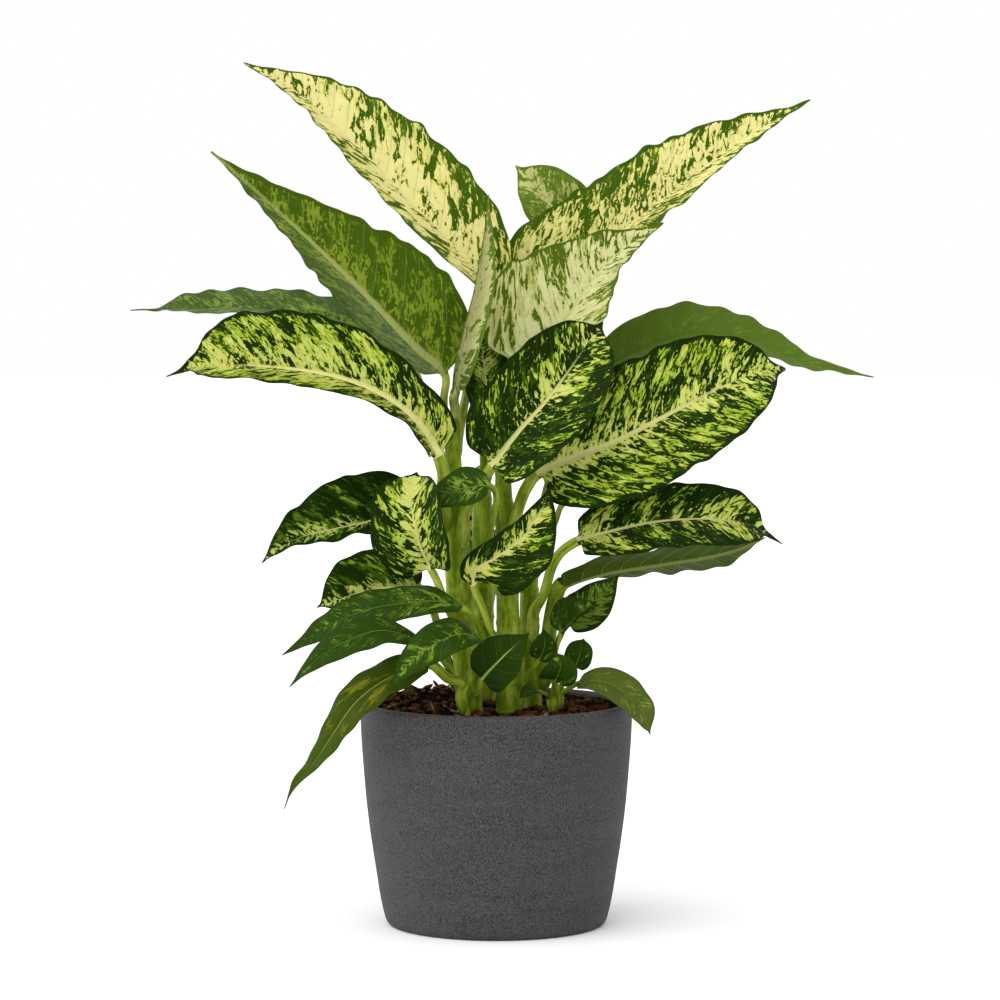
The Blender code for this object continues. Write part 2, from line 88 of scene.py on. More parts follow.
CURVE_STEPS = 12  # samples of a curve between two of its points
CURVE_SPANS = (((0, 1), (1, 2), (2, 3)), ((0, 2), (1, 3)), ((1, 2),))  # knots of each blend, round by round
PETIOLE_STATIONS = 40
BLADE_STATIONS = (24, 120)  # fewest and most
HALF_COLUMNS = (8, 41)
BLADE_THICKNESS = 0.45
PROFILE_ALONG = (0, 0.03, 0.08, 0.17, 0.3, 0.43, 0.58, 0.72, 0.84, 0.91, 0.96, 1)
PROFILES = {
    "pointed": (0.06, 0.5, 0.78, 0.97, 1, 0.86, 0.62, 0.4, 0.2, 0.1, 0.05, 0.02),
    "oval": (0.06, 0.42, 0.68, 0.9, 1, 0.97, 0.85, 0.61, 0.34, 0.17, 0.07, 0.02),
    "blunt": (0.06, 0.42, 0.68, 0.9, 1, 1, 0.96, 0.85, 0.6, 0.32, 0.09, 0.02),
    "drip": (0.06, 0.42, 0.68, 0.9, 1, 1, 0.97, 0.88, 0.55, 0.1, 0.05, 0.02),
    "necked": (0.08, 0.46, 0.58, 0.62, 0.76, 0.95, 1, 0.97, 0.74, 0.22, 0.05, 0.02),
}

# The grid of a blade and its relief.
STATION_SPACING = 2.0
COLUMN_SPACING = 1.8
VEIN_SPACING = 16.0
VEIN_LEAN = 0.6  # how far a lateral vein runs towards the tip as it goes out, near the midrib
VEIN_CURVE = 0.3  # and how much more towards the margin
FOLD_ROUNDING = 2.0
CAMBER = 0.06  # arch of each half, as a share of its width
QUILT_DEPTH = 0.9  # how far the blade puffs up between its veins
MARGIN_WAVE = 2.2
MARGIN_SCALLOP = 1.1
SCALLOP_LENGTH = 1.7  # in vein spacings
FULL_WAVE_WIDTH = 40.0  # a narrower half waves less
OUTLINE_WAVE = 0.035
OUTLINE_LENGTH = 30.0
WAVES = {"leaf_left_torn": 3.5, "leaf_left_comb": 3.0, "leaf_right_twisted": 3.0, "leaf_drooping_left": 2.5}
WAVE_LENGTH = 42.0
BLADE_START = 0.05  # share of the blade over which the petiole turns into the midrib
SHEATH_SWELL = 0.45
CHANNEL = 0.35  # depth of the petiole's channel, in petiole radii
FOOT_TAPER = 3.0  # how far the petiole's foot tapers, in petiole radii

UNDERSIDE = {
    "cream": (0.06, 0.11, 0.004),
    "pale": (0.2, 0.25, 0.06),
    "marbled": (0.08, 0.13, 0.008),
    "dark": (0.05, 0.08, 0.006),
}
UNDERSIDE_VEIN = (0.28, 0.31, 0.08)
PETIOLE_COLOURS = {
    "cream": ((0.15, 0.22, 0.01), (0.42, 0.44, 0.09)),
    "pale": ((0.18, 0.25, 0.03), (0.44, 0.46, 0.14)),
    "marbled": ((0.15, 0.23, 0.006), (0.4, 0.45, 0.07)),
    "dark": ((0.095, 0.165, 0.004), (0.28, 0.35, 0.035)),
}
STEM_COLOURS = ((0.1, 0.17, 0.003), (0.32, 0.39, 0.04))
PEAT_COLOURS = ((0.0002, 0.0001, 0.00005), (0.02, 0.008, 0.003))
PEAT_GRAIN = 2.2
POT_GREYS = ((0.006, 0.006, 0.0065), (0.017, 0.017, 0.0175))
POT_GRIT = (0.075, 0.075, 0.076)
POT_SPECK = (0.14, 0.14, 0.14)
# Painted shade: the colour that darkens the pot's pits as though shadowed inside them.
POT_PIT_PAINTED_SHADE = (0.014, 0.014, 0.014)
LEAF_SPECULAR = 0.09
LEAF_GLOSS_TINT = (0.7, 0.85, 0.3, 1)
EARTH_SPECULAR = 0.02
POT_SPECULAR = 0.35


class Stem(NamedTuple):
    """A stem: its centre line from the soil up, with a radius at each point."""

    name: str
    points: tuple
    radii: tuple


class Leaf(NamedTuple):
    """A leaf: where its petiole leaves the stem, then the points that it and the midrib go through.

    face is the way that the upper side looks, and face_tip the way at the tip of a leaf that turns.
    fold is the angle in degrees that each half rises from flat, and curl bends the margins up.
    left and right are shares of half_width, seen from above with the tip ahead. lobe sweeps the
    margins back past the petiole, and shape names the outline.
    """

    name: str
    stem: str
    height: float
    azimuth: float
    petiole: tuple
    midrib: tuple
    half_width: float
    face: tuple
    fold: float
    tint: str = "dark"
    face_tip: tuple = ()
    curl: float = 0.0
    left: float = 1.0
    right: float = 1.0
    lobe: float = 0.35
    shape: str = "oval"
    radius: float = 3.2


class Look(NamedTuple):
    """How a blade is variegated.

    light shifts the share of pale areas everywhere, and glow adds to it near the midrib, out to reach
    in cm. rib is the midrib's pale half width at its base in cm. across and along are the streaks'
    frequencies per cm, square to the veins and along them. sharp is the contrast of their edges, and
    edge the width in cm of the green border. veins is how strongly the lateral veins show.
    """

    dark: tuple
    mid: tuple
    pale: tuple
    cream: tuple
    light: float
    glow: float = 0.08
    reach: float = 3.0
    rib: float = 0.25
    across: float = 2.0
    along: float = 1.0
    sharp: float = 42.0
    edge: float = 0.4
    rib_colour: tuple = (0.52, 0.52, 0.2)
    veins: float = 0.18
    vein_colour: tuple = (0.04, 0.09, 0.004)


GREENS = ((0.004, 0.015, 0.0003), (0.03, 0.075, 0.001))
LEAF_GREENS = ((0.014, 0.038, 0.002), (0.036, 0.078, 0.004))
LOOKS = {
    "cream": Look(
        (0.035, 0.08, 0.002), (0.09, 0.15, 0.006), (0.55, 0.52, 0.13), (0.68, 0.63, 0.26), -0.02,
        reach=5.0, rib=0.06, across=1.3, along=0.85, edge=0.2, rib_colour=(0.66, 0.62, 0.25)),
    "pale": Look(
        (0.1, 0.16, 0.02), (0.17, 0.24, 0.04), (0.36, 0.4, 0.11), (0.5, 0.5, 0.22), 0.02,
        rib=0.2, across=1.6, along=0.6, sharp=22),
    "marbled": Look(*GREENS, (0.24, 0.34, 0.018), (0.5, 0.52, 0.13), -0.03, glow=0.05, rib=0.36),
    "dark": Look(*GREENS, (0.1, 0.19, 0.008), (0.42, 0.44, 0.11), -0.1, glow=0.16, reach=1.6, rib=0.12),
}
PLAIN = Look(
    *LEAF_GREENS, (0.085, 0.15, 0.01), (0.16, 0.24, 0.03), -0.16,
    glow=0.03, rib=0.05, sharp=12, rib_colour=(0.12, 0.19, 0.02))
OWN_LOOKS = {
    "leaf_top_right": LOOKS["cream"]._replace(light=-0.03, across=1.6, along=1.0, edge=0.35),
    "leaf_top_centre": Look(
        (0.06, 0.1, 0.006), (0.12, 0.17, 0.015), (0.4, 0.42, 0.13), (0.56, 0.56, 0.27), 0.0,
        reach=4.0, rib=0.35, across=1.7, along=0.8, sharp=26, edge=0.3),
    "leaf_left_high": Look(
        (0.01, 0.034, 0.0005), (0.045, 0.09, 0.002), (0.2, 0.29, 0.016), (0.3, 0.36, 0.04), -0.08,
        reach=5.0, rib=0.5, across=1.6, along=1.3, sharp=20, veins=0.9, vein_colour=(0.3, 0.36, 0.07)),
    "leaf_left_edge": PLAIN._replace(
        dark=(0.035, 0.07, 0.008), mid=(0.06, 0.11, 0.012), pale=(0.12, 0.18, 0.03), light=-0.08),
    "leaf_centre_marbled": LOOKS["marbled"]._replace(light=-0.1, glow=0.03, rib=0.3),
    "leaf_right_mid": LOOKS["marbled"]._replace(light=-0.07, reach=2.6, rib=0.2),
    "leaf_left_marbled": LOOKS["marbled"]._replace(
        light=-0.005, reach=3.6, rib=0.45, rib_colour=(0.66, 0.64, 0.26)),
    "leaf_front_upper": LOOKS["marbled"]._replace(light=-0.11, glow=0.15, reach=1.6, rib=0.15),
    "leaf_left_upright": LOOKS["marbled"]._replace(light=-0.11, glow=0.16, reach=2.6, rib=0.16),
    "leaf_spear": LOOKS["pale"]._replace(pale=(0.46, 0.47, 0.19), light=0.04, rib=0.0, across=1.2, along=1.4),
    "leaf_right_back": PLAIN._replace(dark=(0.075, 0.13, 0.012), mid=(0.105, 0.175, 0.018), light=-0.25),
    "leaf_centre_folded": PLAIN._replace(light=-0.06),
    "leaf_right_small": PLAIN._replace(light=-0.04, glow=0.1),
    "leaf_left_torn": LOOKS["dark"]._replace(mid=(0.05, 0.11, 0.006), light=-0.13),
    "leaf_top_back": Look(
        (0.1, 0.17, 0.015), (0.19, 0.27, 0.03), (0.42, 0.45, 0.13), (0.52, 0.52, 0.2), -0.1,
        glow=0.16, reach=1.8, rib=0.0, across=1.3, along=1.2, sharp=18),
    "leaf_front_low": PLAIN._replace(glow=0.13, reach=0.8),
    "leaf_front_dark": PLAIN._replace(
        dark=(0.009, 0.026, 0.001), mid=(0.02, 0.05, 0.003), light=-0.3, rib=0.14,
        rib_colour=(0.22, 0.33, 0.06)),
    "leaf_drooping_left": PLAIN._replace(
        dark=(0.035, 0.06, 0.003), mid=(0.21, 0.2, 0.008), light=-0.25, across=0.4, rib=0.12,
        rib_colour=(0.2, 0.22, 0.03)),
    "leaf_drooping_right": PLAIN._replace(dark=(0.06, 0.085, 0.013), mid=(0.1, 0.13, 0.024), light=-0.2),
    "leaf_right_twisted": PLAIN._replace(light=-0.3),
    **dict.fromkeys(("leaf_right_curled", "leaf_left_arching", "leaf_left_low"), PLAIN),
    **dict.fromkeys(("leaf_base_curled", "leaf_base_upright", "leaf_base_tall", "leaf_base_tiny"),
                    PLAIN._replace(light=-0.2)),
}
# Bits on the soil: name, count, sizes, width and thickness as shares of the length, seed, and skin.
LITTER = (
    ("soil_bark_chips", 330, (2.5, 6.5), (0.5, 0.32), 21,
     ("bark", (0.014, 0.004, 0.0015), (0.3, 0.125, 0.045), 7.0)),
    ("soil_crumbs", 420, (1.2, 3.2), (0.8, 0.6), 22,
     ("dark_bark", (0.001, 0.0005, 0.0002), (0.045, 0.02, 0.007), 6.0)),
    ("soil_slivers", 60, (2.5, 7.0), (0.16, 0.1), 23,
     ("straw", (0.2, 0.15, 0.06), (0.62, 0.55, 0.34), 6.0)),
)

STEMS = (
    Stem("stem_left",
         ((-21, -28, 174), (-26, -24, 233), (-31, -20, 289), (-33, -14, 336), (-35, -8, 384), (-33, -3, 410)),
         (10, 10.5, 10.5, 9, 6.5, 4.5)),
    Stem("stem_centre", ((10, -22, 174), (10, -20, 233), (8, -14, 296), (6, -6, 350), (5, 2, 392)),
         (10.5, 9.5, 8.5, 7, 4.5)),
    Stem("stem_right", ((29, 3, 174), (27, 3, 230), (27, 7, 285), (30, 12, 330)), (8, 8, 7, 5)),
    Stem("stem_back", ((-10, 27, 174), (-11, 29, 260), (-11, 31, 325), (-12, 32, 370)), (9.5, 9, 8.5, 6)),
    Stem("shoot_left", ((-24, -52, 174), (-23, -54, 195), (-20, -56, 212)), (4.5, 4, 3)),
    Stem("shoot_right", ((46, -34, 174), (47, -35, 190), (48, -35, 200)), (4.5, 4, 3)),
)

LEAVES = (
    Leaf("leaf_top_left", "stem_left", 372, 70, ((-24, 20, 430), (-18, 34, 476)),
         ((-6, 40, 512), (-35, 44, 549), (-75, 54, 590), (-120, 64, 636), (-162, 70, 673), (-207, 68, 697)),
         52, (0.45, -0.77, 0.45), 31, "cream", left=0.85, radius=3.4),
    Leaf("leaf_left_high", "stem_left", 385, 190, ((-42, -12, 425),),
         ((-41, -15, 444), (-64, -25, 466), (-104, -45, 509), (-144, -62, 549), (-187, -78, 589),
          (-222, -84, 620)),
         58, (0.4, 0.82, 0.4), 32, "cream", shape="pointed"),
    Leaf("leaf_left_edge", "stem_left", 335, 130, ((-52, 22, 400), (-66, 40, 445)),
         ((-79, 52, 463), (-124, 58, 486), (-186, 60, 496), (-243, 62, 497), (-300, 60, 495)),
         32, (0, -0.35, 1), 12, "marbled", shape="drip"),
    Leaf("leaf_left_marbled", "stem_left", 318, 225, ((-42, -24, 364),),
         ((-46, -27, 380), (-58, -32, 401), (-74, -36, 418), (-96, -38, 432), (-122, -38, 442),
          (-150, -38, 448), (-192, -34, 452), (-224, -28, 452), (-243, -26, 450), (-263, -24, 443)),
         46, (0, -0.8, 0.6), 36, "marbled", face_tip=(0, -0.77, 0.62), left=0.8, lobe=0.15, shape="necked",
         radius=5.2),
    Leaf("leaf_spear", "stem_left", 0, 0, ((-33, -3, 414.5), (-34, -9, 423)),
         ((-33, -20, 430), (-29, -32, 450), (-23, -37, 474), (-14, -30, 508), (-8, -12, 553), (-6, 4, 589)),
         14, (0.3, -0.95, 0), 50, "pale", curl=0.3, lobe=0, radius=4),
    Leaf("leaf_top_centre", "stem_centre", 366, 320, ((20, -8, 415),),
         ((30, -4, 447), (45, 0, 472), (64, 8, 499), (76, 15, 517), (94, 20, 538), (135, 24, 566)),
         54, (-0.4, -0.82, 0.4), 30, "cream", left=1.22, shape="pointed"),
    Leaf("leaf_centre_marbled", "stem_left", 305, 300, ((-18, -30, 349), (-10, -37, 361)),
         ((-3, -44, 373), (17, -56, 400), (40, -64, 426), (60, -64, 453), (73, -58, 472), (84, -48, 487)),
         45, (-0.3, -0.9, 0.3), 24, "marbled", face_tip=(0, -0.95, 0.1), shape="blunt", radius=4.4),
    Leaf("leaf_right_large", "stem_centre", 290, 300, ((17, -17, 335), (24, -25, 354)),
         ((33, -30, 366), (64, -36, 380), (94, -44, 392), (144, -46, 418), (186, -42, 439), (212, -34, 448),
          (231, -20, 449)),
         53, (-0.1, -0.95, 0.25), 14, "marbled", lobe=0.4, shape="blunt", radius=4.8),
    Leaf("leaf_top_right", "stem_centre", 378, 70, ((8, 30, 446), (6, 42, 480)),
         ((10, 50, 500), (40, 58, 527), (86, 66, 549), (131, 78, 582), (176, 88, 617), (219, 92, 645),
          (259, 92, 668)),
         48, (-0.45, -0.77, 0.45), 32, "cream", right=0.85),
    Leaf("leaf_top_back", "stem_back", 350, 60, ((20, 70, 440), (70, 96, 505)),
         ((80, 104, 535), (68, 106, 558), (49, 104, 579), (32, 100, 598), (16, 96, 614)),
         31, (0.2, -0.9, 0.4), 22, "pale", left=1.15, lobe=0.2, shape="blunt"),
    Leaf("leaf_right_back", "stem_right", 300, 50, ((52, 38, 390), (68, 50, 422)),
         ((87, 58, 445), (127, 66, 466), (170, 70, 476), (214, 70, 469), (251, 68, 453), (310, 64, 440)),
         34, (0, -0.6, 0.8), 15, shape="pointed"),
    Leaf("leaf_inner_dark", "stem_back", 340, 280, ((-10, 18, 390),),
         ((-6, 13, 408), (-8, 12, 435), (-11, 13, 460), (-15, 16, 492)),
         22, (0.3, -0.95, 0), 25),
    Leaf("leaf_right_mid", "stem_right", 228, 285, ((38, -16, 268), (45, -24, 292), (52, -28, 303)),
         ((65, -30, 312), (98, -34, 322), (127, -36, 328), (166, -34, 330), (203, -28, 325), (229, -20, 309)),
         33, (0, -0.75, 0.66), 12, "marbled", shape="drip", radius=4),
    Leaf("leaf_right_twisted", "stem_right", 186, 350, ((42, -4, 232), (47, -10, 262)),
         ((53, -13, 277), (83, -18, 288), (131, -16, 294), (168, -12, 298), (196, -8, 304), (217, -4, 313)),
         30, (0, 0.3, 0.95), 3, face_tip=(0, 0.6, 0.8), shape="blunt", radius=6.2),
    Leaf("leaf_right_small", "stem_right", 196, 50, ((50, 8, 228),),
         ((57, 2, 243), (76, -2, 257), (88, -5, 270), (99, -6, 283)),
         18, (0.2, -0.9, 0.4), 15, radius=2.4),
    Leaf("leaf_right_curled", "shoot_right", 177, 90, ((46, -26, 215),),
         ((52, -28, 238), (62, -31, 250), (72, -32, 258), (80, -28, 264)),
         20, (-0.4, -0.6, 0.7), 35, radius=2.4),
    Leaf("leaf_right_pale", "stem_right", 280, 330, ((48, 12, 325),),
         ((54, 22, 338), (71, 28, 346), (86, 34, 351), (100, 38, 342)),
         13, (-0.1, -0.8, 0.6), 20, "pale", lobe=0.1, radius=2.4),
    Leaf("leaf_front_upper", "stem_centre", 215, 250, ((-3, -46, 240), (-11, -56, 262)),
         ((-18, -64, 280), (-16, -70, 292), (1, -75, 303), (21, -71, 318), (35, -65, 339), (43, -58, 358)),
         31, (0.2, -0.93, -0.15), 24, "marbled", face_tip=(0.2, -0.93, 0.1), left=0.62, right=1.08, lobe=0,
         radius=2.8),
    Leaf("leaf_left_upright", "stem_left", 222, 250, ((-42, -44, 268), (-48, -50, 284)),
         ((-52, -54, 292), (-60, -62, 310), (-65, -65, 330), (-67, -58, 352), (-63, -46, 368)),
         36, (-0.4, -0.9, -0.1), 28, "marbled", face_tip=(-0.3, -0.7, 0.6), shape="blunt", radius=3.2),
    Leaf("leaf_left_torn", "stem_back", 285, 170, ((-32, 28, 318), (-48, 20, 328)),
         ((-60, 14, 332), (-84, 6, 331), (-108, -4, 325), (-133, -12, 320), (-157, -18, 314),
          (-175, -24, 305), (-187, -28, 294)),
         40, (0, -0.8, 0.6), 28, left=0.5),
    Leaf("leaf_centre_folded", "stem_left", 262, 290, ((-8, -44, 310), (-2, -48, 334), (0, -53, 350)),
         ((-5, -61, 358), (-16, -61, 358), (-30, -60, 355), (-44, -58, 349), (-59, -54, 340)),
         18, (0, -0.8, 0.6), 8, lobe=0, radius=2.6),
    Leaf("leaf_left_comb", "stem_left", 190, 165, ((-46, -20, 240), (-54, -22, 264)),
         ((-61, -22, 273), (-81, -24, 275), (-104, -26, 272), (-124, -29, 266), (-143, -34, 259)),
         32, (0, -0.85, 0.5), 26, face_tip=(-0.2, -0.8, 0.5), left=0.5, shape="blunt"),
    Leaf("leaf_left_arching", "stem_left", 182, 300, ((-10, -46, 232), (-18, -52, 253)),
         ((-28, -62, 262), (-47, -70, 268), (-72, -68, 266), (-103, -62, 260), (-135, -57, 246),
          (-170, -54, 223)),
         22, (0, -0.4, 0.92), 12, face_tip=(-0.2, -0.8, 0.5), curl=-0.2, radius=2.8),
    Leaf("leaf_left_low", "shoot_left", 180, 170, ((-42, -64, 220),),
         ((-58, -83, 236), (-89, -103, 248), (-117, -112, 240), (-140, -113, 226), (-161, -110, 204)),
         18, (0, -0.5, 0.85), 12, face_tip=(-0.3, -0.8, 0.5), curl=-0.2, radius=2.6),
    Leaf("leaf_front_low", "shoot_left", 196, 285, ((-13, -71, 226),),
         ((-14, -84, 239), (-25, -98, 245), (-44, -112, 240), (-66, -118, 225), (-83, -116, 203)),
         19, (0, -0.6, 0.8), 18, face_tip=(-0.3, -0.9, 0.2), curl=-0.2, radius=2.4),
    Leaf("leaf_front_dark", "shoot_left", 177, 330, ((-15, -62, 194),),
         ((-11, -74, 206), (2, -88, 222), (13, -92, 233), (26, -90, 244)),
         21, (0.2, -0.85, 0.5), 10, radius=2.2),
    Leaf("leaf_drooping_left", "shoot_left", 176, 235, ((-38, -66, 206),),
         ((-53, -72, 218), (-87, -82, 207), (-111, -88, 189), (-128, -90, 165), (-142, -88, 144),
          (-160, -84, 122), (-167, -80, 104)),
         20, (0, -0.5, 0.87), 12, face_tip=(-0.5, -0.8, 0.3), curl=-0.15, shape="pointed", radius=4.2),
    Leaf("leaf_drooping_right", "shoot_right", 177, 330, ((57, -44, 195),),
         ((65, -50, 200), (77, -55, 203), (94, -60, 199), (109, -64, 187), (118, -67, 175), (122, -67, 161)),
         16, (0, -0.55, 0.83), 10, face_tip=(0.5, -0.8, 0.3), shape="blunt", radius=2.2),
    Leaf("leaf_base_curled", "shoot_right", 176, 265, ((46, -48, 197),),
         ((47, -54, 203), (50, -60, 210), (51, -62, 218), (47, -60, 226)),
         16, (0, -0.9, 0.4), 22, radius=2),
    Leaf("leaf_base_upright", "shoot_right", 186, 20, ((60, -30, 206),),
         ((63, -30, 211), (66, -31, 219), (68, -31, 226), (70, -30, 234)),
         12, (-0.2, -0.9, 0.3), 15, shape="blunt", radius=2),
    Leaf("leaf_base_tall", "stem_centre", 178, 330, ((26, -30, 206),),
         ((34, -32, 217), (38, -33, 226), (39, -33, 234), (38, -32, 242)),
         11, (0, -0.95, 0.3), 15, radius=2),
    Leaf("leaf_base_tiny", "shoot_right", 177, 215, ((37, -45, 192),),
         ((33, -49, 194), (28, -54, 195), (23, -58, 193), (18, -60, 189)),
         8, (0, -0.5, 0.85), 10, radius=1.8),
    Leaf("leaf_inner_back", "stem_back", 236, 60, ((-2, 48, 272),),
         ((-6, 56, 288), (-12, 60, 306), (-18, 62, 322), (-22, 62, 338)),
         14, (0.1, -0.97, 0.1), 18, "marbled", radius=2.4),
)


# ---- curves and meshes ----

def curve_point(points, knots, t):
    """The point at t, blended from four points in three rounds."""
    for spans in CURVE_SPANS:
        points = [((knots[b] - t) * points[k] + (t - knots[a]) * points[k + 1]) / (knots[b] - knots[a])
                  for k, (a, b) in enumerate(spans)]
    return points[0]


def smooth_curve(points, steps=CURVE_STEPS):
    """A finely sampled Catmull-Rom curve through the points, in any number of dimensions."""
    points = np.asarray(points, float)
    padded = np.vstack([2 * points[0] - points[1], points, 2 * points[-1] - points[-2]])
    knots = np.concatenate([[0], np.cumsum(np.linalg.norm(np.diff(padded, axis=0), axis=1) ** 0.5)])
    samples = []
    for i in range(len(points) - 1):
        times = np.linspace(knots[i + 1], knots[i + 2], steps, endpoint=False)
        samples += [curve_point(padded[i:i + 4], knots[i:i + 4], t) for t in times]
    return np.array(samples + [points[-1]])


def unit(vectors):
    """Vectors along the last axis, made one long."""
    return vectors / np.linalg.norm(vectors, axis=-1, keepdims=True)


def smoothstep(low, high, value):
    t = np.clip((value - low) / (high - low), 0, 1)
    return t * t * (3 - 2 * t)


def arc_lengths(curve):
    return np.concatenate([[0], np.cumsum(np.linalg.norm(np.diff(curve, axis=0), axis=1))])


def along(curve, shares):
    """Points at these shares of the curve's length."""
    lengths = arc_lengths(curve)
    wanted = np.asarray(shares) * lengths[-1]
    return np.stack([np.interp(wanted, lengths, curve[:, k]) for k in range(curve.shape[1])], axis=1)


def ripple(values, wavelength, rng):
    """An uneven wave between about -1 and 1."""
    total = np.zeros_like(values)
    for stretch, weight in ((1.0, 0.5), (0.62, 0.3), (1.9, 0.35)):
        total += weight * np.sin(2 * math.pi * (values / (wavelength * stretch) + rng.random()))
    return total


def ring_angles(count):
    return 2 * math.pi * np.arange(count) / count


def corner_values(u, v):
    """A grid of pairs, with u along each row and v down the rows."""
    return np.stack(np.broadcast_arrays(u, v[:, None]), axis=2)


def bake_range(shares):
    """Shares from 0 to 1 brought in from the bake layout's edges."""
    return 0.02 + 0.96 * shares


class Sheet:
    """A grid of quads on shared vertices, with a value for each corner in each UV map."""

    def __init__(self, indices, uvs, slot=0):
        self.corners = self.quads(indices)
        self.uvs = {name: self.quads(grid).reshape(-1, 2) for name, grid in uvs.items()}
        self.slots = np.broadcast_to(slot, np.asarray(indices).shape)[:-1, :-1].reshape(-1)

    @staticmethod
    def quads(grid):
        """The four corners of each cell of a grid, in order round the cell."""
        grid = np.asarray(grid)
        cells = np.stack([grid[:-1, :-1], grid[:-1, 1:], grid[1:, 1:], grid[1:, :-1]], axis=2)
        return cells.reshape(-1, 4, *grid.shape[2:])


def tube(rings, uvs):
    """A sheet round rings of points, and the caps that close its two ends."""
    count, sides = rings.shape[:2]
    sheet = Sheet(sides * np.arange(count)[:, None] + closed_columns(sides), uvs)
    return sheet, [range(sides - 1, -1, -1), range((count - 1) * sides, count * sides)]


def add_object(name, data):
    obj = bpy.data.objects.new(name, data)
    bpy.context.collection.objects.link(obj)
    return obj


def smooth_shading(mesh):
    mesh.polygons.foreach_set("use_smooth", np.ones(len(mesh.polygons), bool))


def mesh_object(name, points, sheets, caps, materials):
    """An object in metres from points in millimetres, sheets of quads and end caps."""
    quads = np.concatenate([sheet.corners for sheet in sheets])
    mesh = bpy.data.meshes.new(name)
    mesh.from_pydata(points * MM, [], quads.tolist() + [list(cap) for cap in caps])
    for map_name in sheets[0].uvs:
        values = np.concatenate([sheet.uvs[map_name] for sheet in sheets])
        spare = np.full((len(mesh.loops) - len(values), 2), 0.005)
        layer = mesh.uv_layers.new(name=map_name)
        layer.uv.foreach_set("vector", np.concatenate([values, spare]).astype(np.float32).ravel())
    slots = np.concatenate([sheet.slots for sheet in sheets] + [np.full(len(caps), sheets[0].slots[0])])
    mesh.polygons.foreach_set("material_index", slots.astype(np.int32))
    smooth_shading(mesh)
    for material in materials:
        mesh.materials.append(material)
    mesh.validate()
    return add_object(name, mesh)


def place(obj, slot, *nodes):
    """The piece rides on the object's body and stands for its CAD nodes, which are hidden; slot is not used.
    """
    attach(obj, "root")
    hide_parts(*nodes)


def closed_columns(count):
    """Indices of a tube's columns, with the first again at the end."""
    return np.arange(count + 1) % count


# ---- materials ----

class Nodes:
    """Short ways to add shader nodes to a material."""

    def __init__(self, name):
        self.material = bpy.data.materials.new(name)
        self.material.use_nodes = True
        self.tree = self.material.node_tree
        self.shader = self.tree.nodes["Principled BSDF"]

    def gloss(self, level, tint=(1, 1, 1, 1)):
        self.shader.inputs["Specular IOR Level"].default_value = level
        self.shader.inputs["Specular Tint"].default_value = tint

    def add(self, kind, inputs, **settings):
        node = self.tree.nodes.new(kind)
        for key, value in settings.items():
            setattr(node, key, value)
        for key, value in inputs.items():
            self.feed(node.inputs[key], value)
        return node

    def feed(self, socket, value):
        """Links a socket to another one, or sets its own value."""
        if isinstance(value, bpy.types.NodeSocket):
            self.tree.links.new(value, socket)
        elif isinstance(value, tuple) and len(value) == 3 and socket.type == "RGBA":
            socket.default_value = (*value, 1)
        else:
            socket.default_value = value

    def math(self, operation, a, b, clamp=False):
        return self.add("ShaderNodeMath", {0: a, 1: b}, operation=operation, use_clamp=clamp).outputs[0]

    def scaled(self, value, factor, shift=0.0):
        inputs = {0: value, 1: factor, 2: shift}
        return self.add("ShaderNodeMath", inputs, operation="MULTIPLY_ADD").outputs[0]

    def total(self, *values):
        result = values[0]
        for value in values[1:]:
            result = self.math("ADD", result, value)
        return result

    def step(self, value, low, high, start=0.0, end=1.0):
        """A smooth change from start at low to end at high."""
        inputs = {"Value": value, "From Min": low, "From Max": high, "To Min": start, "To Max": end}
        return self.add("ShaderNodeMapRange", inputs, interpolation_type="SMOOTHSTEP").outputs["Result"]

    def fade(self, value, low, high):
        """A smooth fall from 1 at low to 0 at high."""
        return self.step(value, low, high, 1.0, 0.0)

    def mix(self, factor, a, b):
        """A colour between a and b."""
        return self.add("ShaderNodeMix", {0: factor, 6: a, 7: b}, data_type="RGBA").outputs[2]

    def split(self, vector):
        return tuple(self.add("ShaderNodeSeparateXYZ", {0: vector}).outputs)

    def join(self, x, y, z):
        return self.add("ShaderNodeCombineXYZ", {0: x, 1: y, 2: z}).outputs[0]

    def stretch(self, x, x_scale, y, y_scale, z):
        return self.join(self.scaled(x, x_scale), self.scaled(y, y_scale), z)

    def uv(self, name):
        return self.add("ShaderNodeUVMap", {}, uv_map=name).outputs[0]

    def place_in_object(self):
        """Position in the object, in centimetres."""
        position = self.add("ShaderNodeTexCoord", {}).outputs["Object"]
        scale = {0: position, "Scale": 100.0}
        return self.add("ShaderNodeVectorMath", scale, operation="SCALE").outputs[0]

    def noise(self, vector, scale=1.0, detail=3.0, roughness=0.55, distortion=0.0):
        inputs = {"Vector": vector, "Scale": scale, "Detail": detail, "Roughness": roughness,
                  "Distortion": distortion}
        return self.add("ShaderNodeTexNoise", inputs).outputs["Fac"]

    def cells(self, vector, scale):
        """Distance from the middle of the nearest of many scattered cells."""
        return self.add("ShaderNodeTexVoronoi", {"Vector": vector, "Scale": scale}).outputs["Distance"]

    def finish(self, colour, roughness, height, depth, strength):
        """Feeds the shader; depth is how deep the height's full range is, in metres."""
        bump = self.add("ShaderNodeBump", {"Height": height, "Distance": depth, "Strength": strength})
        self.feed(self.shader.inputs["Base Color"], colour)
        self.feed(self.shader.inputs["Roughness"], roughness)
        self.feed(self.shader.inputs["Normal"], bump.outputs[0])
        return self.material


def vein_lines(n, q, spacing, half_width):
    """1 on the lateral veins and 0 between them."""
    phase = n.math("PINGPONG", q, spacing / 2)
    return n.fade(phase, half_width * 0.4, half_width)


